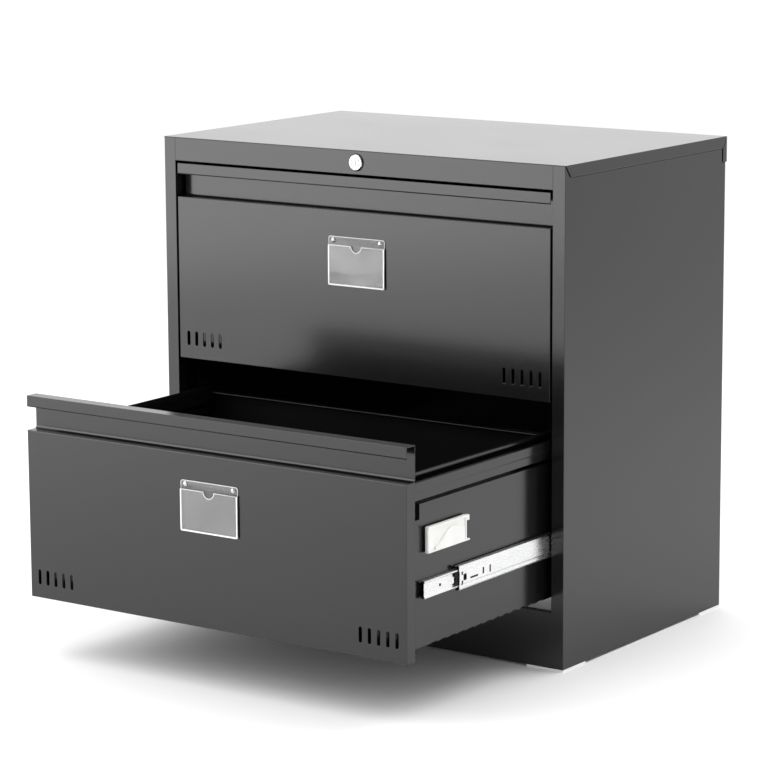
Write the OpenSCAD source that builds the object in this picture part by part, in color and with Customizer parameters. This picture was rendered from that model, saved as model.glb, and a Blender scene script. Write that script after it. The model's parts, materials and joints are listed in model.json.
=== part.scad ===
// Two-drawer lateral filing cabinet in folded sheet steel.
// Origin on the floor under the middle of the whole object, +Z up, fronts facing -Y.
// The lower drawer is drawn out on its slides and the upper drawer is shut.

/* [Cabinet] */
// Overall width across the top panel
cab_w = 710; // [560:10:900]
// Overall depth of the cabinet body
cab_d = 450; // [450:10:600]
// Overall height with the foot pads
cab_h = 720; // [600:10:900]
// Thickness of the sheet steel
sheet = 1; // [0.8:0.1:1.4]
// How far the top panel stands out past each side panel
lid_over = 1; // [1:0.5:3]
// How far the top panel stands out past the back panel
rear_over = 2.5; // [2:0.5:5]
// Height of the top panel's side skirts
skirt_h = 17; // [12:1:24]
// Height of the top panel's rear skirt
rear_skirt_h = 38; // [26:1:50]
// Height of the header rail above the upper drawer
header_h = 35; // [30:1:50]
// Width of each front stile
stile_w = 20; // [16:1:26]
// Height of the top edge of the plinth above the floor
plinth_h = 84; // [70:0.5:120]
// Width of each foot pad
foot_w = 61; // [40:1:80]
// Thickness of each foot pad
foot_t = 3; // [2:0.5:6]

/* [Drawer fronts] */
// Gap between a drawer front and each stile
side_gap = 4; // [3:0.5:6]
// Gap above, between and below the drawer fronts
vert_gap = 4; // [3:0.5:6]
// Height of the lip along the top of each front
lip_h = 15; // [12:1:20]
// Height of the finger recess below the lip
recess_h = 35; // [28:1:45]
// Depth of the finger recess
recess_d = 19; // [16:1:24]
// Inside radius at the foot of the recess
cove_r = 4; // [2:1:10]
// Number of vent slots in each lower corner
vent_n = 5; // [3:1:8]
// Spacing of the vent slots
vent_pitch = 15; // [10:1:20]
// Width of a vent slot
vent_w = 5.5; // [3:0.5:6]
// Height of a vent slot
vent_h = 22; // [15:1:40]
// Distance from the end of a front to its first vent slot
vent_in = 16.5; // [12:0.5:30]

/* [Drawer boxes] */
// Space between a shut drawer's back wall and the back panel
back_gap = 45.5; // [30:0.5:80]
// Height of a drawer's bottom edge above the bottom of its front
box_z = 13; // [8:1:20]
// How far the rolled top edge rises above the front's main panel
bead_up = 5.5; // [3:0.5:8]
// How far the outer band stands out from the side wall
band_out = 5; // [3:0.5:6]
// Height of the outer band
band_h = 24.5; // [18:0.5:32]
// How far the lower drawer is drawn out, as a share of its full travel
lower_drawn = 1; // [0:0.05:1]

/* [Slides] */
// Space between the slides' rear ends and a shut drawer's back wall
slide_rear = 8; // [5:1:60]
// Thickness of a whole slide
slide_t = 12.7; // [12.7:0.1:14]
// Distance from the top of a front's main panel down to the slides' centre
slide_down = 151.5; // [110:0.5:155]
// Distance from the front face to the slide members' front ends
slide_in = 42; // [34:1:50]
// Length of a middle member that stays inside the cabinet member when drawn out
mid_stay = 80; // [60:5:150]
// Diameter of the outer row of balls
ball_d1 = 3.4; // [3:0.1:3.5]
// Diameter of the inner row of balls
ball_d2 = 3.2; // [2.8:0.1:3.3]

/* [Label holders] */
// Width of a label holder
label_w = 100; // [80:5:140]
// Height of a label holder
label_h = 72; // [60:1:100]
// Height of the tab above a label holder's pocket
tab_h = 12.5; // [10:0.5:20]
// Distance from the top of a front's main panel down to its label holder
label_down = 38; // [15:0.5:60]

/* [Lock] */
// Diameter of the lock's flange
lock_flange_d = 23.5; // [22:0.5:28]
// How far the lock's flange stands out from the header rail
lock_out = 3; // [1.5:0.5:4]
// Diameter of the lock's threaded body
lock_body_d = 19; // [16:0.5:20]
// Diameter of the turning plug
plug_d = 13; // [10:0.5:14]
// Length of the cam from the plug's axis
cam_len = 30; // [28:1:34]

/* [Hidden] */
eps = 0.01;
// lengths of the drawer boxes and slides
box_d = cab_d - rear_over - 2 * sheet - back_gap;   // front face to the back wall
slide_len = box_d - slide_in - slide_rear;
lower_open = slide_len * lower_drawn;
label_t = 3;                       // how far a label holder stands out
// cabinet planes
y_mid = (lower_open + label_t) / 2; // middle of the cabinet body
yf = y_mid - cab_d / 2;            // front face
yr = y_mid + cab_d / 2;            // rear face of the top panel
yb = yr - rear_over;               // rear face of the side panels
xs = cab_w / 2 - lid_over;         // outer face of a side panel
xo = xs - stile_w;                 // inner edge of a stile, and the slides' mounting plane
z0 = foot_t;                       // lower edge of the steel
zt = cab_h - sheet;                // underside of the top sheet
zh = cab_h - header_h;             // lower edge of the header rail
flange = 18;                       // common width of hidden flanges
seam = 1.2;                        // width of the joint line below the skirts
// drawer fronts
front_h = (zh - plinth_h - 3 * vert_gap) / 2;
front_w = 2 * (xo - side_gap);
panel_h = front_h - lip_h - recess_h;
z_lower = plinth_h + vert_gap;
z_upper = z_lower + front_h + vert_gap;
// drawer boxes
wx = xo - slide_t;                 // outer face of a drawer side wall
box_y = recess_d + sheet;          // start of the drawer sides, behind the liner
bead_z = panel_h + bead_up;        // top of the rolled edge
band_z = panel_h - 3;              // top of the outer band
groove = 9;                        // width of the groove inside the band
bead_r = 2.5;
// slides: u runs outward from the drawer wall, v up from the centre line
slide_z = panel_h - slide_down;    // slides' centre above the bottom of the front
mid_travel = slide_len - mid_stay;
y_lower = yf - lower_open;
cage1_len = mid_stay - 4;
cage2_len = 150;
mid_ratio = mid_travel / slide_len;
cage1_ratio = mid_ratio / 2;
cage2_ratio = (1 + mid_ratio) / 2;
// label holders
label_z = panel_h - label_down - label_h;
pocket_h = label_h - tab_h;
steel = [0.24, 0.24, 0.25];
zinc = [0.86, 0.87, 0.88];
chrome = [0.82, 0.82, 0.84];
white = [0.93, 0.93, 0.91];
black = [0.08, 0.08, 0.08];

// ---- folded sheet helpers ----
function unit(v) = v / norm(v);
function left_of(v) = [-v[1], v[0]];
// the path moved sideways by t, with mitred corners
function beside(p, t) = [for (i = [0:len(p) - 1])
    let (a = unit(i > 0 ? p[i] - p[i - 1] : p[1] - p[0]),
         b = unit(i < len(p) - 1 ? p[i + 1] - p[i] : p[i] - p[i - 1]),
         n = unit(left_of(a) + left_of(b)))
    p[i] + n * t / (n * left_of(a))];
function reversed(p) = [for (i = [len(p) - 1:-1:0]) p[i]];
function arc(c, r, a0, a1, n) = [for (i = [0:n]) c + r * [cos(a0 + (a1 - a0) * i / n),
                                                         sin(a0 + (a1 - a0) * i / n)]];
// mirrored in v, so that a half profile makes a whole one
function both(p) = concat(p, [for (i = [len(p) - 1:-1:0]) [p[i][0], -p[i][1]]]);

// sheet on the left of a path
module fold(path, t = sheet) {
    polygon(concat(path, reversed(beside(path, t))));
}
// sheet centred on a path
module strip(path, t) {
    polygon(concat(beside(path, t / 2), reversed(beside(path, -t / 2))));
}
// a profile drawn in (y, z), swept along X from x0 to x1
module along_x(x0, x1) {
    translate([x0, 0, 0]) rotate([90, 0, 90]) linear_extrude(x1 - x0) children();
}
// a profile drawn in (x, z), swept along Y from y0 to y1
module along_y(y0, y1) {
    translate([0, y1, 0]) rotate([90, 0, 0]) linear_extrude(y1 - y0) children();
}
module box(a, b) {
    translate(a) cube(b - a);
}
// side = 1 is the right, -1 the left
module on_side(side) {
    if (side > 0) children();
    else mirror([1, 0, 0]) children();
}

// ---- cabinet ----
// outline of a side skirt and of the rear skirt's wrap, in (y, z), grown by g
module skirt_outline(g) {
    wrap = 11;
    polygon([[yf + 1 - g, zt], [yf + skirt_h - 3 - g, cab_h - skirt_h - g],
             [yr - wrap - 1, cab_h - skirt_h - g], [yr - 3, zt - 4], [yr - 3, zt]]);
    polygon([[yr - wrap - g, cab_h - rear_skirt_h - g], [yr, cab_h - rear_skirt_h - g],
             [yr, zt], [yr - 2, zt], [yr - 2, zt - 5], [yr - wrap - g, cab_h - skirt_h - 1]]);
}
module top_panel() {
    color(steel) {
        box([-cab_w / 2, yf, zt], [cab_w / 2, yr, cab_h]);
        // mitred side skirts, and the rear skirt that wraps a little way round each side
        for (s = [-1, 1]) on_side(s)
            translate([xs, 0, eps]) rotate([90, 0, 90]) linear_extrude(lid_over) skirt_outline(0);
        box([-cab_w / 2, yr - sheet, cab_h - rear_skirt_h + eps], [cab_w / 2, yr, zt + eps]);
    }
}
module header_rail() {
    color(steel) difference() {
        along_x(-xo, xo)
            fold([[yf + 22, zt], [yf, zt], [yf, zh], [yf + 14, zh], [yf + 14, zh + 6]]);
        translate([0, yf - 1, (zh + cab_h) / 2]) rotate([-90, 0, 0])
            cylinder(h = sheet + 2, d = lock_body_d + 0.1, $fn = 64);
    }
}
module side_panel(side) {
    hole = 8;
    color(steel) on_side(side) difference() {
        union() {
            difference() {
                translate([0, 0, z0]) linear_extrude(zt - z0)
                    fold([[xo, yf + flange], [xo, yf], [xs, yf], [xs, yb], [xs - flange, yb]]);
                // the face stops at the joint line below the skirts
                translate([xs - sheet - eps, 0, eps]) rotate([90, 0, 90])
                    linear_extrude(sheet + 1) intersection() {
                        skirt_outline(seam);
                        translate([yf + sheet, 0]) square([yb - yf - 2 * sheet, zt + 1]);
                    }
            }
            // joggle behind the joint line
            translate([xs - 2 * sheet, 0, 0]) rotate([90, 0, 90]) linear_extrude(sheet + eps)
                intersection() {
                    skirt_outline(seam + 4);
                    translate([yf + sheet - eps, 0]) square([yb - yf - 3.5 * sheet, zt]);
                }
            box([xo, yf + eps, z0], [xs - eps, yb - eps, z0 + sheet]);
        }
        // holes for the foot studs
        for (y = [yf + foot_w / 2, yb - foot_w / 2])
            translate([(xs + xo) / 2, y, z0 - 1]) cylinder(h = sheet + 2, d = hole, $fn = 32);
    }
}
module back_panel() {
    color(steel) box([sheet - xs, yb - 2 * sheet, plinth_h], [xs - sheet, yb - sheet, zt]);
}
module plinth() {
    color(steel) along_x(-xo, xo)
        fold([[yf + 12, plinth_h - 8], [yf + 12, plinth_h], [yf, plinth_h], [yf, z0],
              [yf + 25, z0]]);
}
module base_rail() {
    y = yb - 2 * sheet;
    color(steel) along_x(-xo, xo)
        fold([[y - 25, plinth_h], [y, plinth_h], [y, plinth_h + 45], [y - flange, plinth_h + 45],
              [y - flange, plinth_h + 37]]);
}
module post(side, y) {
    w = 40;
    color(zinc) on_side(side) translate([0, 0, z0 + sheet]) linear_extrude(zh - z0 - 12)
        strip([[xs - 1.5 * sheet, y - 8], [xs - 1.5 * sheet, y + sheet / 2],
               [xo + sheet / 2, y + sheet / 2], [xo + sheet / 2, y + w - sheet / 2],
               [xs - 1.5 * sheet, y + w - sheet / 2], [xs - 1.5 * sheet, y + w + 8]], sheet);
}
module foot(side, y, dir) {
    color(white) on_side(side) {
        difference() {
            box([xs - foot_w, min(y, y + dir * foot_w), 0],
                [xs, max(y, y + dir * foot_w), foot_t]);
            translate([xs - foot_w - 1, y + dir * foot_w, -1]) rotate([0, 0, -45 * dir])
                cube([8, 8, 2 * foot_t + 2], center = true);
        }
        // push-in stud
        translate([(xs + xo) / 2, y + dir * foot_w / 2, foot_t - eps]) {
            cylinder(h = 4, d = 7.8, $fn = 32);
            translate([0, 0, sheet + 0.2]) cylinder(h = 3.8 - sheet, d1 = 9, d2 = 6.5, $fn = 32);
        }
    }
}

// ---- slides, drawn for the right-hand side with the wall at x = wx ----
// web steps and curled flanges of the three members, upper half, for a 12.7 mm slide
p_outer = [[2.0, 18.8], [1.5, 20.5], [2.5, 21.8], [5, 22.1], [9, 22.1], [11.2, 21.4],
           [12.1, 19.6]];
p_mid = [[2.0, 15.3], [2.5, 16.6], [4, 16.9], [7.4, 16.9], [8.9, 16.2], [9.6, 14.6],
         [9.6, 9.6], [10.1, 8.4]];
p_inner = [[0.5, 9.8], [0.5, 11.4], [1.4, 12.0], [6.3, 12.0], [7.5, 11.5], [7.7, 10.3],
           [6.5, 9.0]];
// a thicker slide has its webs further out
more = slide_t - 12.7;
function thicker(p) = [for (q = p) [q[0] + (q[0] > 5 ? more : 0), q[1]]];

// a slide member, y0 to y0 + len, its profile centred on height z
module member(path, t, y0, len, z) {
    translate([wx, 0, z]) along_y(y0, y0 + len) strip(both(path), t);
}
module bolt_x(x0, x1, y, z, d) {
    translate([x0, y, z]) rotate([0, 90, 0]) cylinder(h = x1 - x0, d = d, $fn = 24);
}
module slide_outer(side, z) {
    y0 = yf + slide_in;
    color(zinc) on_side(side) difference() {
        member(thicker(p_outer), 1.2, y0, slide_len, z);
        for (y = [0.1, 0.5, 0.9] * slide_len) bolt_x(xo - 3, xo + 1, y0 + y, z, 5);
    }
}
// y is the front end of the member
module slide_mid(side, y, z) {
    color(zinc) on_side(side) difference() {
        member(thicker(p_mid), 1, y, slide_len, z);
        // lanced slots near the front end
        box([wx + 8, y + 26, z - 5], [xo, y + 45, z - 2.5]);
        for (k = [0, 1])
            box([wx + 8, y + 56 + 17 * k, z - 4.5 - k], [xo, y + 59.5 + 17 * k, z + 4.5]);
        box([wx + 8, y + 9, z - 4.5], [xo, y + 17, z + 4.5]);
        box([wx + 8, y + 4.5, z + 4], [xo, y + 8, z + 8.5]);
        box([wx + 8, y + 4.5, z - 10], [xo, y + 8, z - 4]);
        bolt_x(wx + 8, xo, y + 0.9 * slide_len, z, 5);
    }
}
screw_y = [0.36, 0.66, 0.94] * slide_len;
module slide_inner(side, y, z) {
    color(zinc) on_side(side) {
        difference() {
            member(thicker(p_inner), 1, y + slide_in, slide_len, z);
            bolt_x(wx + 5, xo - 2, y + slide_in + 38, z, 4.6);
            for (s = screw_y) bolt_x(wx + 5, xo - 2, y + slide_in + s, z, 4.1);
        }
        // curved stop tab raised from the web
        translate([wx + more, y + slide_in + mid_stay - 14, z - 4.5]) linear_extrude(9)
            polygon([[6.9, 0], [7.7, 0.5], [8.2, 1.6], [8.3, 3], [7.6, 3.4], [6.9, 2.4]]);
    }
}
module slide_screws(y, z) {
    u_web = wx + 7 + more;
    color(zinc) for (side = [-1, 1], s = screw_y) on_side(side) {
        bolt_x(wx - 4, u_web + eps, y + slide_in + s, z, 4);
        bolt_x(u_web, u_web + 1.2, y + slide_in + s, z, 7.5);
        // spacer between the member and the wall
        difference() {
            bolt_x(wx, u_web - 1, y + slide_in + s, z, 8);
            bolt_x(wx - 1, u_web, y + slide_in + s, z, 4 - eps);
        }
        // clinch nut on the inside of the wall
        bolt_x(wx - sheet - 2.5, wx - sheet, y + slide_in + s, z, 8);
    }
}
// ball cage: a U of thin strip with the balls in round windows
module cage(u_web, v, u_end, y0, len, z, d, n, ball_u) {
    pitch = (len - 10) / (n - 1);
    for (side = [-1, 1]) on_side(side) translate([wx + more, 0, z]) {
        difference() {
            along_y(y0, y0 + len) strip(both([[u_end, v], [u_web, v]]), 0.4);
            for (i = [0:n - 1]) translate([ball_u, y0 + 5 + pitch * i, 0])
                cylinder(h = 2 * v + 4, d = d + 0.1, center = true, $fn = 32);
        }
        for (i = [0:n - 1], k = [-1, 1])
            translate([ball_u, y0 + 5 + pitch * i, k * v]) sphere(d = d, $fn = 32);
    }
}
module outer_cages(y_closed, travel, z) {
    y0 = y_closed + mid_travel / 2 + 2 - travel * cage1_ratio;
    color(zinc) cage(11.05, 19.45, 3.6, y0, cage1_len, z, ball_d1, 6, 6.2);
}
module inner_cages(y_closed, travel, z) {
    y0 = y_closed + (slide_len - mid_travel) / 2 - 7 - travel * cage2_ratio;
    color(black) {
        cage(8.75, 14.45, 1.8, y0 + 8, cage2_len, z, ball_d2, 8, 4.6);
        // moulded bumper at the front end
        for (side = [-1, 1]) on_side(side) difference() {
            box([xo - 4.2, y0 - 3, z - 9], [xo - 3.65, y0 + 8.5, z + 9]);
            box([xo - 6, y0 - 4, z - 3.2], [xo - 3, y0 - 1, z + 3.2]);
        }
    }
}

// ---- drawers, drawn with the front face at y = 0 and the front's bottom at z = 0 ----
module vent_slot(x) {
    z = 19.5;
    box([x - vent_w / 2, -1, z + vent_w / 2], [x + vent_w / 2, sheet + 1, z + vent_h - vent_w / 2]);
    for (k = [vent_w / 2, vent_h - vent_w / 2]) translate([x, -1, z + k]) rotate([-90, 0, 0])
        cylinder(h = sheet + 2, d = vent_w, $fn = 24);
}
module front() {
    x = front_w / 2;
    color(steel) difference() {
        union() {
            along_x(-x, x) fold(concat(
                [[recess_d, 0], [0, 0], [0, panel_h - 1], [0.6, panel_h]],
                arc([recess_d - cove_r, panel_h + cove_r], cove_r, -90, 0, 8),
                [[recess_d, front_h - sheet], [sheet, front_h - sheet],
                 [sheet, front_h - lip_h]]), -sheet);
            // returns at the two ends of the main panel
            for (s = [-1, 1]) on_side(s)
                box([x - sheet, eps, eps], [x, recess_d, panel_h - eps]);
        }
        for (s = [-1, 1], i = [0:vent_n - 1]) vent_slot(s * (x - vent_in - vent_pitch * i));
        for (s = [-1, 1]) rivet_hole(s);
    }
}
module rivet_hole(s) {
    translate([s * (label_w / 2 - 8.5), -5, label_z + label_h - 5.5]) rotate([-90, 0, 0])
        cylinder(h = 9, d = 3.2, $fn = 24);
}
module liner() {
    x = front_w / 2 - sheet;
    color(steel) box([-x, recess_d, box_z], [x, recess_d + sheet, panel_h - 2]);
}
module drawer_side(side) {
    gx = wx - sheet - groove;
    zb = band_z - band_h;
    color(steel) on_side(side) difference() {
        union() {
            along_y(box_y, box_d - sheet) {
                fold([[wx - 15, box_z], [wx, box_z], [wx, zb - 7], [wx - 12, zb - 7],
                      [wx - 12, zb], [wx + band_out - 0.8, zb], [wx + band_out - 0.8, zb + 11],
                      [wx + band_out, zb + 11.8], [wx + band_out, band_z],
                      [wx - sheet, band_z], [wx - sheet, band_z - 16], [gx - 6, band_z - 16],
                      [gx - 6, bead_z - 2 * bead_r], [gx, bead_z - 2 * bead_r],
                      [gx, bead_z - bead_r]]);
                translate([gx - bead_r, bead_z - bead_r]) circle(r = bead_r, $fn = 32);
            }
        }
        // relief window behind the front's return
        box([wx - 14, box_y - 1, zb - 28], [wx + 1, box_y + 22, zb - sheet - eps]);
        for (s = screw_y) bolt_x(wx - 3, wx + 1, slide_in + s, slide_z, 4.1);
        // scalloped bottom edge
        for (y = [70:22:box_d - 60]) box([wx - 2, y, box_z - 1], [wx + 1, y + 12, box_z + 2]);
    }
}
module drawer_floor() {
    x = wx - sheet;
    color(steel) {
        box([-x, box_y, box_z + sheet], [x, box_d - sheet, box_z + 2 * sheet]);
        box([-x, box_y, box_z + sheet], [x, box_y + sheet, box_z + flange]);
    }
}
module drawer_back() {
    color(steel) {
        box([-wx, box_d - sheet, box_z], [wx, box_d, band_z]);
        box([-(wx - 20), box_d - 14, band_z - sheet], [wx - 20, box_d - eps, band_z]);
    }
}
module label_holder() {
    notch_r = 9;
    top = label_z + pocket_h;
    color([0.8, 0.82, 0.84, 0.5]) difference() {
        union() {
            box([-label_w / 2, -1, label_z], [label_w / 2, 0, top + eps]);
            // tab with rounded upper corners
            for (s = [-1, 1]) translate([s * (label_w / 2 - 4), 0, label_z + label_h - 4])
                rotate([90, 0, 0]) cylinder(h = 1, r = 4, $fn = 32);
            box([-label_w / 2 + 4, -1, top], [label_w / 2 - 4, 0, label_z + label_h]);
            box([-label_w / 2, -1, top], [label_w / 2, 0, label_z + label_h - 4]);
            // pocket walls
            for (s = [-1, 1]) on_side(s)
                box([label_w / 2 - 1.5, -label_t, label_z], [label_w / 2, -1 + eps, top]);
            box([-label_w / 2, -label_t, label_z], [label_w / 2, -1 + eps, label_z + 1.5]);
            box([-label_w / 2, -label_t, label_z], [label_w / 2, 1 - label_t, top]);
        }
        translate([0, -label_t - 1, top]) rotate([-90, 0, 0]) cylinder(h = 2.5, r = notch_r, $fn = 48);
        for (s = [-1, 1]) rivet_hole(s);
    }
}
module label_rivets() {
    color(chrome) for (s = [-1, 1])
        translate([s * (label_w / 2 - 8.5), -1, label_z + label_h - 5.5]) rotate([90, 0, 0]) {
            cylinder(h = 0.8, d = 7, $fn = 32);
            translate([0, 0, 0.8 - eps]) cylinder(h = 0.5, d1 = 7, d2 = 4.5, $fn = 32);
            translate([0, 0, -sheet - 1.5]) cylinder(h = sheet + 1.5 + eps, d = 3.1, $fn = 24);
            translate([0, 0, -sheet - 2.2]) cylinder(h = 1.2, d = 4.8, $fn = 24);
        }
}
// moulded cam on the right-hand wall that works the one-drawer-at-a-time interlock
module interlock_cam() {
    y0 = slide_in + 9;
    z = slide_z + 48.5;
    l = 92;
    h = 36;
    gap = 3;
    t = 8;
    // edge of the raised face: a steep rise, a crest and a slow fall
    hump = [for (i = [0:16]) let (a = i / 16)
        [17 + 70 * a, 6.5 + 20 * (a < 0.55 ? (1 - cos(180 * a / 0.55)) / 2
                                          : 1 - 0.3 * (a - 0.55) / 0.45 * (a - 0.55) / 0.45)]];
    color(white) translate([wx, y0, z]) {
        // foot that holds the cam off the wall
        box([0, 7, 4], [gap + eps, l - 12, h - 5]);
        // plate with a bevelled front end and a shallow groove behind it
        linear_extrude(h) polygon([[gap, 0], [t - 1.2, 0], [t, 1.6], [t, 7], [t - 0.8, 8],
                                   [t - 0.8, 15], [t - 1.6, 16], [t - 1.6, l], [gap, l]]);
        // rims
        box([gap, 0.8, 0], [t + 0.3, l + 7, 2.2]);
        box([gap, 0.8, h - 3.6], [t + 0.3, l, h]);
        box([gap, l - 2.5, 0], [t, l, h]);
        box([gap, l - eps, h - 8], [t + 0.3, l + 6, h - 0.6]);
        // raised cam face
        rotate([90, 0, 90]) linear_extrude(t + 0.4) polygon(concat([[17, 1]], hump, [[87, 1]]));
    }
}
// catch behind the upper drawer's lip that the lock cam drops in front of
module lock_strike() {
    y = recess_d + sheet;
    z = front_h - 14;
    color(zinc) along_x(-22, 22)
        fold([[y, z - 16], [y, z], [y + 6, z], [y + 6, front_h - 2]], -sheet);
}

// ---- lock ----
lock_z = (zh + cab_h) / 2;
module at_lock() {
    translate([0, yf, lock_z]) rotate([-90, 0, 0]) children();
}
lock_len = 22;
module lock_housing() {
    color(chrome) at_lock() difference() {
        union() {
            translate([0, 0, 0.8 - lock_out]) cylinder(h = lock_out - 0.8, d = lock_flange_d, $fn = 64);
            translate([0, 0, -lock_out]) cylinder(h = 0.8 + eps, d1 = lock_flange_d - 2.4,
                                                  d2 = lock_flange_d, $fn = 64);
            translate([0, 0, -eps]) cylinder(h = lock_len, d = lock_body_d, $fn = 64);
        }
        translate([0, 0, -lock_out - 1]) cylinder(h = 2.2, d = plug_d + 2.4, $fn = 64);
        translate([0, 0, -lock_out - 1]) cylinder(h = lock_len + 8, d = plug_d + 0.1, $fn = 64);
    }
}
module lock_nut() {
    color(zinc) at_lock() translate([0, 0, sheet]) difference() {
        cylinder(h = 4, d = lock_body_d + 8, $fn = 6);
        translate([0, 0, -1]) cylinder(h = 6, d = lock_body_d + 0.1, $fn = 64);
    }
}
module lock_plug() {
    color(chrome) at_lock() difference() {
        union() {
            translate([0, 0, -lock_out]) cylinder(h = lock_len + lock_out + 0.3, d = plug_d, $fn = 64);
            translate([0, 0, lock_len + 0.2]) intersection() {
                cylinder(h = 2.3, d = 9, $fn = 48);
                cube([7, 12, 6], center = true);
            }
        }
        // keyway
        translate([-0.8, -3.8, -lock_out - 1]) cube([1.6, 7.6, 16]);
        translate([0, 0, lock_len - 6]) cylinder(h = 10, d = 3.9, $fn = 32);
    }
}
module lock_cam() {
    color(zinc) at_lock() translate([0, 0, lock_len + 0.4]) difference() {
        union() {
            cylinder(h = 2, d = 17, $fn = 48);
            translate([0, -7, 0]) cube([cam_len, 14, 2]);
        }
        translate([0, 0, -1]) intersection() {
            cylinder(h = 4, d = 9.1, $fn = 48);
            cube([7.1, 12, 12], center = true);
        }
    }
}
module lock_cam_screw() {
    color(zinc) at_lock() {
        translate([0, 0, lock_len + 2.5]) cylinder(h = 2.4, d = 9.6, $fn = 32);
        translate([0, 0, lock_len - 5]) cylinder(h = 8, d = 3.8, $fn = 32);
    }
}

// ---- placing ----
module upper() {
    translate([0, yf, z_upper]) children();
}
module lower() {
    translate([0, y_lower, z_lower]) children();
}
y_slide = yf + slide_in;
zs_upper = z_upper + slide_z;
zs_lower = z_lower + slide_z;
post_front_y = y_slide + 6;
post_rear_y = y_slide + slide_len - 46;

top_panel();
header_rail();
side_panel(-1);  // side_panel_left
side_panel(1);  // side_panel_right
back_panel();
plinth();
base_rail();
post(-1, post_front_y);  // post_front_left
post(1, post_front_y);  // post_front_right
post(-1, post_rear_y);  // post_rear_left
post(1, post_rear_y);  // post_rear_right
foot(-1, yf, 1);  // foot_front_left
foot(1, yf, 1);  // foot_front_right
foot(-1, yb, -1);  // foot_rear_left
foot(1, yb, -1);  // foot_rear_right
slide_outer(-1, zs_upper);  // upper_slide_outer_left
slide_outer(1, zs_upper);  // upper_slide_outer_right
slide_outer(-1, zs_lower);  // lower_slide_outer_left
slide_outer(1, zs_lower);  // lower_slide_outer_right
lock_housing();
lock_nut();
lock_plug();
lock_cam();
lock_cam_screw();

upper() front();  // upper_front
upper() liner();  // upper_liner
upper() drawer_side(-1);  // upper_side_left
upper() drawer_side(1);  // upper_side_right
upper() drawer_floor();  // upper_floor
upper() drawer_back();  // upper_back
upper() label_holder();  // upper_label_holder
upper() label_rivets();  // upper_label_rivets
upper() interlock_cam();  // upper_interlock_cam
upper() lock_strike();  // upper_lock_strike
slide_inner(-1, yf, zs_upper);  // upper_slide_inner_left
slide_inner(1, yf, zs_upper);  // upper_slide_inner_right
slide_screws(yf, zs_upper);  // upper_slide_screws
slide_mid(-1, y_slide, zs_upper);  // upper_slide_mid_left
slide_mid(1, y_slide, zs_upper);  // upper_slide_mid_right
outer_cages(y_slide, 0, zs_upper);  // upper_outer_cages
inner_cages(y_slide, 0, zs_upper);  // upper_inner_cages

lower() front();  // lower_front
lower() liner();  // lower_liner
lower() drawer_side(-1);  // lower_side_left
lower() drawer_side(1);  // lower_side_right
lower() drawer_floor();  // lower_floor
lower() drawer_back();  // lower_back
lower() label_holder();  // lower_label_holder
lower() label_rivets();  // lower_label_rivets
lower() interlock_cam();  // lower_interlock_cam
slide_inner(-1, y_lower, zs_lower);  // lower_slide_inner_left
slide_inner(1, y_lower, zs_lower);  // lower_slide_inner_right
slide_screws(y_lower, zs_lower);  // lower_slide_screws
slide_mid(-1, y_slide - lower_open * mid_ratio, zs_lower);  // lower_slide_mid_left
slide_mid(1, y_slide - lower_open * mid_ratio, zs_lower);  // lower_slide_mid_right
outer_cages(y_slide, lower_open, zs_lower);  // lower_outer_cages
inner_cages(y_slide, lower_open, zs_lower);  // lower_inner_cages
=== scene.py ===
import json
import math

import bmesh
import bpy
from mathutils import Matrix, Vector


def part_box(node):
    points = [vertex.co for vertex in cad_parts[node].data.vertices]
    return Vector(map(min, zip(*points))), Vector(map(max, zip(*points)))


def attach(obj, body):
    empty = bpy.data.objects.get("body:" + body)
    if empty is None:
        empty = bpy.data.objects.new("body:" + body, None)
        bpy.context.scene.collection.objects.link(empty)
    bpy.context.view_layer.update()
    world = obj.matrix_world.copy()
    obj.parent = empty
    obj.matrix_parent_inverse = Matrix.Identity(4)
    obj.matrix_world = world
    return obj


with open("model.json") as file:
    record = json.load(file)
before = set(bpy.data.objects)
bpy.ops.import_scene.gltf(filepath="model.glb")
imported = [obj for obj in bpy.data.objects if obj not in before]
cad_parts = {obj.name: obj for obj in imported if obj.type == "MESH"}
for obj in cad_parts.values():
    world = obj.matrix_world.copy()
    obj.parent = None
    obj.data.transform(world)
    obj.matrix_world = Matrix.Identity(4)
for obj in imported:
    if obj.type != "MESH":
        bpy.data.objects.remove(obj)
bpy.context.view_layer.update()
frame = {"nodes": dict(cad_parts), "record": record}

# Looks for the two-drawer lateral filing cabinet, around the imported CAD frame.
# Metres, +Z up, fronts facing -Y.
scene = bpy.context.scene
NODES = frame["nodes"]
MM = 0.001
HOLDER_WIDTH, HOLDER_HEIGHT = 100 * MM, 72 * MM
HOLDER_TAB = 12.5 * MM
LIP_HEIGHT = 15 * MM
PANE_BULGE = 1.1  # 1/m, in the shading only
lid_low, lid_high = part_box("top_panel")
# the point on the floor under the middle of the cabinet's body
MIDDLE = Vector(((lid_low[0] + lid_high[0]) / 2, (lid_low[1] + lid_high[1]) / 2, 0))


# ---- camera ----
LENS_MM = 149.93
SENSOR_MM = 36
CAMERA_FROM_MIDDLE = (2.67688, -3.93693, 1.23518)
CAMERA_AZIMUTH, CAMERA_ELEVATION, CAMERA_ROLL = 35.321, 10.604, -0.315


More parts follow.
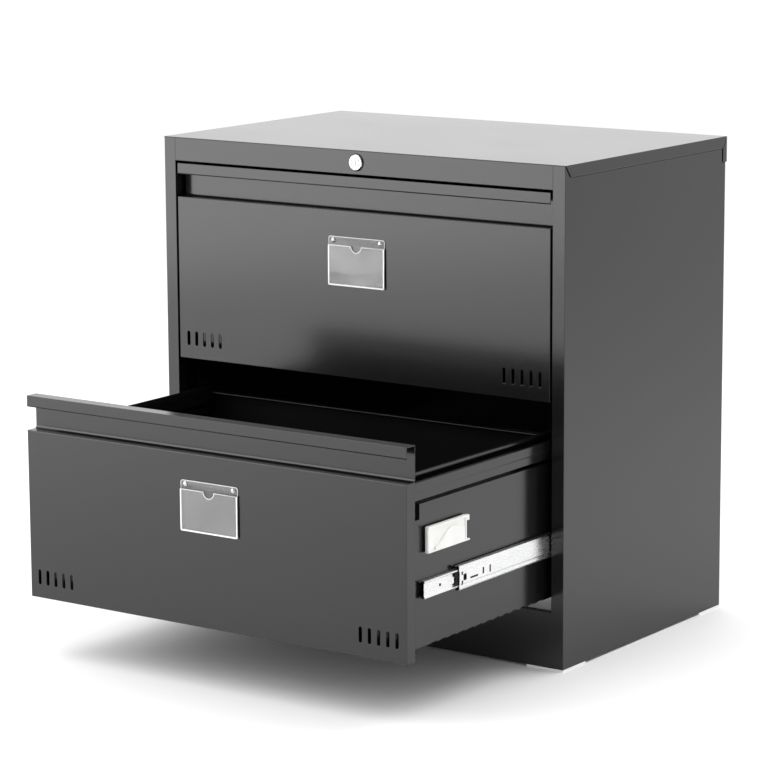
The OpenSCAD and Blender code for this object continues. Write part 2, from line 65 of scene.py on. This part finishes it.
def add_camera():
    data = bpy.data.cameras.new("camera")
    data.lens = LENS_MM
    data.sensor_width = SENSOR_MM
    data.clip_start, data.clip_end = 0.1, 100
    cam = bpy.data.objects.new("camera", data)
    az, el = math.radians(CAMERA_AZIMUTH), math.radians(CAMERA_ELEVATION)
    ahead = Vector((-math.sin(az) * math.cos(el), math.cos(az) * math.cos(el), -math.sin(el)))
    right = Vector((math.cos(az), math.sin(az), 0))
    up = right.cross(ahead)
    turned = Matrix((right, up, -ahead)).transposed().to_4x4()
    roll = Matrix.Rotation(math.radians(-CAMERA_ROLL), 4, ahead)
    cam.matrix_world = Matrix.Translation(MIDDLE + Vector(CAMERA_FROM_MIDDLE)) @ roll @ turned
    scene.collection.objects.link(cam)
    scene.camera = cam


add_camera()


# ---- node-based materials ----
class Shader:
    """A Principled material and short calls that add nodes to it."""

    def __init__(self, name, color=(0.8, 0.8, 0.8), roughness=0.5, **sockets):
        self.material = bpy.data.materials.new(name)
        self.material.use_nodes = True
        self.tree = self.material.node_tree
        self.bsdf = self.tree.nodes["Principled BSDF"]
        self.bsdf.inputs["Base Color"].default_value = (*color, 1)
        self.bsdf.inputs["Roughness"].default_value = roughness
        for socket, value in sockets.items():
            self.bsdf.inputs[socket.replace("_", " ")].default_value = value
        self.coords = self.node("TexCoord").outputs["Object"]

    def node(self, kind, **settings):
        made = self.tree.nodes.new("ShaderNode" + kind)
        for key, value in settings.items():
            setattr(made, key, value)
        return made

    def link(self, source, target):
        self.tree.links.new(source, target)

    def stretched(self, factors):
        made = self.node("Mapping")
        made.inputs["Scale"].default_value = factors
        self.link(self.coords, made.inputs["Vector"])
        return made.outputs["Vector"]

    def noise(self, scale, detail=2, rough=0.5, vector=None):
        made = self.node("TexNoise")
        made.inputs["Scale"].default_value = scale
        made.inputs["Detail"].default_value = detail
        made.inputs["Roughness"].default_value = rough
        self.link(vector or self.coords, made.inputs["Vector"])
        return made.outputs["Fac"]

    def cells(self, scale):
        made = self.node("TexVoronoi")
        made.inputs["Scale"].default_value = scale
        self.link(self.coords, made.inputs["Vector"])
        return made.outputs["Color"]

    def remap(self, value, low, high, to_low, to_high):
        made = self.node("MapRange")
        for socket, number in zip(made.inputs[1:5], (low, high, to_low, to_high)):
            socket.default_value = number
        self.link(value, made.inputs["Value"])
        return made.outputs["Result"]

    def math(self, operation, a, b=None):
        made = self.node("Math", operation=operation)
        for socket, value in zip(made.inputs, (a, b)):
            if isinstance(value, (int, float)):
                socket.default_value = value
            elif value is not None:
                self.link(value, socket)
        return made.outputs[0]

    def mix(self, share, a, b):
        made = self.node("Mix", data_type="RGBA")
        for socket, value in zip((made.inputs[0], made.inputs[6], made.inputs[7]), (share, a, b)):
            if isinstance(value, tuple):
                socket.default_value = (*value, 1)
            elif isinstance(value, (int, float)):
                socket.default_value = value
            else:
                self.link(value, socket)
        return made.outputs[2]

    def color(self, socket):
        self.link(socket, self.bsdf.inputs["Base Color"])

    def roughness(self, socket):
        self.link(socket, self.bsdf.inputs["Roughness"])

    def bump(self, height, strength, distance, under=None):
        made = self.node("Bump")
        made.inputs["Strength"].default_value = strength
        made.inputs["Distance"].default_value = distance
        self.link(height, made.inputs["Height"])
        if under:
            self.link(under, made.inputs["Normal"])
        return made.outputs["Normal"]

    def normal(self, socket):
        self.link(socket, self.bsdf.inputs["Normal"])

    def rounded(self, radius):
        """A normal that turns through the edges as if they were rounded."""
        bevel = self.node("Bevel", samples=6)
        bevel.inputs["Radius"].default_value = radius
        return bevel.outputs["Normal"]

    def edges(self, radius):
        """0 on a flat face, up to 1 on an edge."""
        bevel = self.node("Bevel", samples=4)
        bevel.inputs["Radius"].default_value = radius
        flat = self.node("NewGeometry").outputs["Normal"]
        dot = self.node("VectorMath", operation="DOT_PRODUCT")
        self.link(bevel.outputs["Normal"], dot.inputs[0])
        self.link(flat, dot.inputs[1])
        return self.remap(dot.outputs["Value"], 0.99, 0.78, 0, 1)


def powder_coat(name, dark, light, gloss):
    """Satin powder coat over sheet steel: fine grain, orange peel, faint wear on the edges."""
    s = Shader(name, roughness=gloss)
    grain = s.noise(1500, 2, 0.6)
    peel = s.noise(210, 2, 0.5)
    cloud = s.noise(5, 3, 0.55)
    tint = s.mix(s.remap(grain, 0.3, 0.7, 0, 1), dark, light)
    tint = s.mix(s.remap(cloud, 0.35, 0.7, 0, 0.25), tint, tuple(c * 1.25 for c in light))
    worn = s.math("MULTIPLY", s.edges(0.0012), s.remap(s.noise(60, 4, 0.7), 0.42, 0.72, 0.05, 0.6))
    s.color(s.mix(worn, tint, (0.03, 0.03, 0.03)))
    s.roughness(s.math("ADD", s.remap(cloud, 0.3, 0.7, gloss - 0.01, gloss + 0.01),
                       s.remap(grain, 0.3, 0.7, -0.025, 0.025)))
    s.normal(s.bump(grain, 0.08, 0.0002, s.bump(peel, 0.05, 0.0006, s.rounded(1.1 * MM))))
    return s.material


def zinc_plate(name, color, gloss):
    """Rolled and zinc plated steel: fine lines along the run of the slide and a soft spangle."""
    s = Shader(name, color, gloss, Metallic=1.0)
    lines = s.noise(900, 3, 0.6, s.stretched((1, 0.02, 1)))
    spangle = s.cells(260)
    cloud = s.noise(30, 3, 0.5)
    shade = s.mix(s.remap(cloud, 0.3, 0.7, 0, 0.35), color, tuple(c * 0.82 for c in color))
    tone = s.node("SeparateColor")
    s.link(spangle, tone.inputs[0])
    s.color(s.mix(s.math("MULTIPLY", tone.outputs[0], 0.22), shade, tuple(c * 0.8 for c in color)))
    s.roughness(s.math("ADD", s.remap(lines, 0.3, 0.7, gloss - 0.06, gloss + 0.08),
                       s.math("MULTIPLY", tone.outputs[1], 0.05)))
    s.normal(s.bump(lines, 0.08, 0.0001, s.rounded(0.5 * MM)))
    return s.material


def chrome_plate():
    """Bright chrome with faint handling marks."""
    s = Shader("chrome_plate", (0.44, 0.44, 0.445), 0.16, Metallic=1.0)
    marks = s.noise(700, 4, 0.7)
    haze = s.noise(90, 2, 0.5)
    s.color(s.mix(s.remap(haze, 0.35, 0.7, 0, 0.3), (0.46, 0.46, 0.465), (0.38, 0.38, 0.39)))
    s.roughness(s.remap(marks, 0.35, 0.75, 0.12, 0.22))
    s.normal(s.bump(haze, 0.03, 0.0002, s.rounded(0.5 * MM)))
    return s.material


def moulded(name, color, gloss, shade=0.9, shine=0.5):
    """Injection-moulded plastic with a fine spark-eroded surface."""
    s = Shader(name, color, gloss, Specular_IOR_Level=shine)
    pits = s.noise(1800, 2, 0.6)
    flow = s.noise(40, 3, 0.5)
    s.color(s.mix(s.remap(flow, 0.3, 0.7, 0, 1), color, tuple(c * shade for c in color)))
    s.roughness(s.remap(pits, 0.3, 0.7, gloss - 0.06, gloss + 0.08))
    s.normal(s.bump(pits, 0.08, 0.0001, s.bump(flow, 0.05, 0.0004, s.rounded(0.8 * MM))))
    return s.material


def clear_acrylic():
    """Clear moulded acrylic with faint scuffs and a little haze."""
    s = Shader("clear_acrylic", (0.9, 0.9, 0.9), 0.06, Transmission_Weight=0.9, IOR=1.5)
    scuffs = s.noise(500, 4, 0.7)
    haze = s.noise(22, 3, 0.5)
    s.color(s.mix(s.remap(haze, 0.3, 0.7, 0, 1), (0.85, 0.85, 0.85), (0.72, 0.72, 0.72)))
    s.roughness(s.remap(scuffs, 0.45, 0.75, 0.10, 0.18))
    # the pane bulges a little, in shading only: a shallow dome, its top off the middle
    split = s.node("SeparateXYZ")
    s.link(s.node("TexCoord").outputs["Generated"], split.inputs[0])
    x = s.math("MULTIPLY", s.math("SUBTRACT", split.outputs["X"], 0.7), HOLDER_WIDTH)
    z = s.math("MULTIPLY", s.math("SUBTRACT", split.outputs["Z"], 0.3), HOLDER_HEIGHT)
    spread = s.math("ADD", s.math("MULTIPLY", x, x), s.math("MULTIPLY", z, z))
    dome = s.math("MULTIPLY", spread, -PANE_BULGE)
    s.normal(s.bump(dome, 1.0, 1.0))
    return s.material


def painted_edge_glow():
    """The moulding's thick edges, painted near white: a painted highlight for the light that clear
    acrylic edges gather.
    """
    s = Shader("painted_edge_glow", (0.9, 0.9, 0.9), 0.2, IOR=1.5)
    cloud = s.noise(120, 3, 0.6)
    s.color(s.mix(s.remap(cloud, 0.3, 0.7, 0, 1), (0.95, 0.95, 0.95), (0.80, 0.80, 0.80)))
    s.roughness(s.remap(s.noise(700, 3, 0.6), 0.35, 0.7, 0.14, 0.32))
    s.normal(s.bump(cloud, 0.05, 0.0003))
    return s.material


FINISH = {
    "painted_steel": powder_coat("powder_coat", (0.004, 0.004, 0.004), (0.008, 0.008, 0.008), 0.175),
    "zinc_steel": zinc_plate("zinc_plate", (0.78, 0.78, 0.785), 0.24),
    "chrome": chrome_plate(),
    "white_plastic": moulded("white_plastic", (0.85, 0.85, 0.83), 0.38, 0.93),
    "black_plastic": moulded("black_plastic", (0.005, 0.005, 0.005), 0.5, 0.7, 0.12),
    "clear_plastic": clear_acrylic(),
}


# ---- CAD nodes: every one is shown, with the finish of its slot ----
for part in frame["record"]["subparts"]:
    node_object = NODES[part["node"]]
    node_object.data.materials.clear()
    node_object.data.materials.append(FINISH[part["material_slot"]])


# ---- small pieces added on the CAD nodes ----
def new_piece(name, mesh, material, body):
    mesh.materials.append(material)
    piece = bpy.data.objects.new(name, mesh)
    scene.collection.objects.link(piece)
    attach(piece, body)
    return piece


def swept(name, path, across):
    """A bar along a path in the (x, z) plane; across lists its section as (inward, y) pairs."""
    built = bmesh.new()
    rings = []
    steps = [Vector((b[0] - a[0], b[1] - a[1])).normalized() for a, b in zip(path, path[1:])]
    for i, (x, z) in enumerate(path):
        dirs = steps[max(0, i - 1):i + 1]
        along = sum(dirs, Vector((0, 0))).normalized()
        side = Vector((-along.y, along.x))
        stretch = 1 / max(0.3, side.dot(Vector((-dirs[0].y, dirs[0].x))))
        rings.append([built.verts.new((x + side.x * u * stretch, y, z + side.y * u * stretch))
                      for u, y in across])
    n = len(across)
    for a, b in zip(rings, rings[1:]):
        for k in range(n):
            built.faces.new((a[k], a[(k + 1) % n], b[(k + 1) % n], b[k]))
    built.faces.new(rings[0])
    built.faces.new(reversed(rings[-1]))
    bmesh.ops.recalc_face_normals(built, faces=built.faces)
    mesh = bpy.data.meshes.new(name)
    built.to_mesh(mesh)
    built.free()
    for polygon in mesh.polygons:
        polygon.use_smooth = len(polygon.vertices) == 4
    return mesh


def rounded_bar(width, front, depth, r):
    """Section of a bar from its outer edge inward, its front at y = front."""
    section = []
    for cu, cy, start in ((r, front + r, 180), (width - r, front + r, 270)):
        for k in range(5):
            a = math.radians(start + 22.5 * k)
            section.append((cu + r * math.cos(a), cy + r * math.sin(a)))
    return section + [(width, front + depth), (0, front + depth)]


def add_label_rims(drawer):
    """Near-white rim round a label holder's pocket, its notched top edge, and the tab's edge: a painted
    highlight of the acrylic's bright edges.
    """
    low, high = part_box(drawer + "_label_holder")
    x0, x1, z0, z1 = low[0], high[0], low[2], high[2]
    y = low[1] - 0.15 * MM
    pocket = z1 - HOLDER_TAB
    wall, r = 2.5 * MM, 0.8 * MM
    body = drawer + "_drawer"
    mid = (x0 + x1) / 2
    corner, tab_corner = 2.5 * MM, 4 * MM

    def arc(cx, cz, radius, start, end, steps):
        return [(cx + radius * math.cos(math.radians(start + (end - start) * k / steps)),
                 cz + radius * math.sin(math.radians(start + (end - start) * k / steps)))
                for k in range(steps + 1)]

    outline = ([(x0, pocket)] + arc(x0 + corner, z0 + corner, corner, 180, 270, 6)
               + arc(x1 - corner, z0 + corner, corner, 270, 360, 6) + [(x1, pocket)])
    mesh = swept(drawer + "_label_rim", outline, rounded_bar(wall, y, 3 * MM, r))
    new_piece(drawer + "_label_rim", mesh, EDGE_GLOW_PAINT, body)
    notch = 9 * MM
    edge = ([(x1 - wall, pocket)] + [(mid + notch, pocket)] + arc(mid, pocket, notch, 0, -180, 16)[1:]
            + [(x0 + wall, pocket)])
    mesh = swept(drawer + "_label_pocket_edge", edge, rounded_bar(1.0 * MM, y, 1.2 * MM, 0.4 * MM))
    new_piece(drawer + "_label_pocket_edge", mesh, EDGE_GLOW_PAINT, body)
    back = high[1] - 1.15 * MM
    top = ([(x1, pocket)] + arc(x1 - tab_corner, z1 - tab_corner, tab_corner, 0, 90, 6)
           + arc(x0 + tab_corner, z1 - tab_corner, tab_corner, 90, 180, 6) + [(x0, pocket)])
    mesh = swept(drawer + "_label_tab_edge", top, rounded_bar(0.9 * MM, back, 1.0 * MM, 0.35 * MM))
    new_piece(drawer + "_label_tab_edge", mesh, EDGE_GLOW_PAINT, body)


def add_rivet_heads(drawer):
    """Domed heads over the label holder's rivets, in one piece, facing -Y."""
    low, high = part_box(drawer + "_label_rivets")
    radius = (high[2] - low[2]) / 2
    front, back = low[1] - 0.35 * MM, low[1] + 1.1 * MM
    z = (low[2] + high[2]) / 2
    around, down = 32, 8
    built = bmesh.new()
    for x in (low[0] + radius, high[0] - radius):
        rings = []
        for k in range(1, down + 1):
            a = math.radians(90 * k / down)
            r = (radius + 0.1 * MM) * math.sin(a)
            y = back + (front - back) * math.cos(a)
            turns = [2 * math.pi * t / around for t in range(around)]
            rings.append([built.verts.new((x + r * math.cos(turn), y, z + r * math.sin(turn)))
                          for turn in turns])
        tip = built.verts.new((x, front, z))
        for t in range(around):
            after = (t + 1) % around
            built.faces.new((tip, rings[0][t], rings[0][after]))
            for a, b in zip(rings, rings[1:]):
                built.faces.new((a[t], b[t], b[after], a[after]))
    bmesh.ops.recalc_face_normals(built, faces=built.faces)
    mesh = bpy.data.meshes.new(drawer + "_label_rivet_heads")
    built.to_mesh(mesh)
    built.free()
    for polygon in mesh.polygons:
        polygon.use_smooth = True
    new_piece(drawer + "_label_rivet_heads", mesh, FINISH["chrome"], drawer + "_drawer")


def turned(name, profile, centre, steps=64):
    """A ring turned about the Y axis through centre from a closed (radius, y) profile."""
    built = bmesh.new()
    rings = []
    for t in range(steps):
        a = 2 * math.pi * t / steps
        rings.append([built.verts.new((centre[0] + r * math.cos(a), y, centre[2] + r * math.sin(a)))
                      for r, y in profile])
    n = len(profile)
    for a, b in zip(rings, rings[1:] + rings[:1]):
        for k in range(n):
            built.faces.new((a[k], a[(k + 1) % n], b[(k + 1) % n], b[k]))
    bmesh.ops.recalc_face_normals(built, faces=built.faces)
    mesh = bpy.data.meshes.new(name)
    built.to_mesh(mesh)
    built.free()
    return mesh


def add_lock_shadow_ring():
    """Black ring between the lock's flange and the header rail, a little wider than the flange: painted
    shadow that the standing flange casts on the rail.
    """
    low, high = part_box("lock_housing")
    centre = [(a + b) / 2 for a, b in zip(low, high)]
    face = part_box("header_rail")[0][1]
    radius = (high[0] - low[0]) / 2
    outer, inner, chamfer = radius + 1.1 * MM, radius - 1.5 * MM, 0.4 * MM
    front, back = face - 0.9 * MM, face - 0.02 * MM
    profile = [(inner, back), (inner, front), (outer - chamfer, front), (outer, front + chamfer),
               (outer, back)]
    mesh = turned("lock_shadow_ring", profile, centre)
    new_piece("lock_shadow_ring", mesh, FINISH["black_plastic"], "cabinet")


def add_keyway_shade():
    """Dark strip just inside the keyway: painted shade of the keyway's hollow."""
    low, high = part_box("lock_plug")
    x, z = (low[0] + high[0]) / 2, (low[2] + high[2]) / 2
    half, y = 0.85 * MM, low[1] - 0.04 * MM
    section = [(-half, y), (half, y), (half, y + 0.4 * MM), (-half, y + 0.4 * MM)]
    mesh = swept("keyway_shade", [(x, z + 3.8 * MM), (x, z), (x, z - 3.8 * MM)], section)
    new_piece("keyway_shade", mesh, FINISH["black_plastic"], "lock_barrel")


def add_lip_shadow_line(drawer):
    """Thin black strip along the lower edge of a drawer's lip: a painted shadow line under the lip."""
    low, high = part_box(drawer + "_front")
    edge = high[2] - LIP_HEIGHT
    section = rounded_bar(1.2 * MM, low[1] + 0.15 * MM, 1.0 * MM, 0.3 * MM)
    mesh = swept(drawer + "_lip_shadow_line", [(high[0] - 0.2 * MM, edge), (low[0] + 0.2 * MM, edge)], section)
    new_piece(drawer + "_lip_shadow_line", mesh, FINISH["black_plastic"], drawer + "_drawer")


# near-white finish for the label rims: a painted highlight of the acrylic's edges
EDGE_GLOW_PAINT = painted_edge_glow()
add_lock_shadow_ring()
add_keyway_shade()
for drawer_name in ("upper", "lower"):
    add_label_rims(drawer_name)
    add_rivet_heads(drawer_name)
    add_lip_shadow_line(drawer_name)


# ---- floor, world and lights ----
def add_floor():
    """A plain pale floor."""
    reach = 30
    mesh = bpy.data.meshes.new("floor")
    corners = [(-reach, -reach, 0), (reach, -reach, 0), (reach, reach, 0), (-reach, reach, 0)]
    mesh.from_pydata(corners, [], [(0, 1, 2, 3)])
    floor = bpy.data.objects.new("floor", mesh)
    scene.collection.objects.link(floor)
    s = Shader("floor_paint", (0.9, 0.9, 0.9), 0.7)
    s.color(s.mix(s.noise(3, 2), (0.90, 0.90, 0.90), (0.92, 0.92, 0.92)))
    mesh.materials.append(s.material)


def add_world():
    """White studio: bright overhead and behind, dimmer in front."""
    world = bpy.data.worlds.new("studio")
    world.use_nodes = True
    tree = world.node_tree
    coords = tree.nodes.new("ShaderNodeTexCoord")
    split = tree.nodes.new("ShaderNodeSeparateXYZ")
    tree.links.new(coords.outputs["Generated"], split.inputs[0])

    def ramp(source, low, high, to_low, to_high):
        made = tree.nodes.new("ShaderNodeMapRange")
        made.interpolation_type = "SMOOTHSTEP"
        for socket, number in zip(made.inputs[1:5], (low, high, to_low, to_high)):
            socket.default_value = number
        tree.links.new(source, made.inputs["Value"])
        return made.outputs["Result"]

    behind = ramp(split.outputs["Y"], -0.5, 0.9, SKY_FRONT, SKY_BACK)
    above = ramp(split.outputs["Z"], 0.35, 0.9, 0, 1)
    blend = tree.nodes.new("ShaderNodeMix")
    tree.links.new(above, blend.inputs[0])
    tree.links.new(behind, blend.inputs[2])
    blend.inputs[3].default_value = SKY_TOP
    background = tree.nodes["Background"]
    background.inputs["Color"].default_value = (1, 1, 1, 1)
    tree.links.new(blend.outputs[0], background.inputs["Strength"])
    scene.world = world


def add_light(name, at, aim, width, height, radiance):
    """A soft rectangle of light, its brightness given as the radiance of its face."""
    data = bpy.data.lights.new(name, "AREA")
    data.shape = "RECTANGLE"
    data.size, data.size_y = width, height
    data.energy = radiance * math.pi * width * height
    light = bpy.data.objects.new(name, data)
    light.location = MIDDLE + Vector(at)
    light.rotation_mode = "QUATERNION"
    light.rotation_quaternion = (Vector(aim) - Vector(at)).to_track_quat("-Z", "Y")
    light.visible_camera = False
    scene.collection.objects.link(light)


SKY_FRONT, SKY_BACK, SKY_TOP = 0.4, 1.3, 1.32
add_floor()
add_world()
add_light("front_softbox", (-1.78, -2.34, 1.1), (0.22, -0.54, 0.47), 2.4, 2.1, 3.6)
add_light("side_fill", (1.1, 0.5, 1.9), (0.8, 0.4, 0), 1.2, 1.2, 2.4)
add_light("front_fill", (-0.9, -1.6, 2.4), (-0.7, -1.2, 0), 1.6, 1.6, 1.8)
add_light("overhead", (-0.4, 0.3, 2.9), (-0.4, 0.3, 0), 2.8, 2.8, 0.6)
scene.view_settings.view_transform = "Standard"
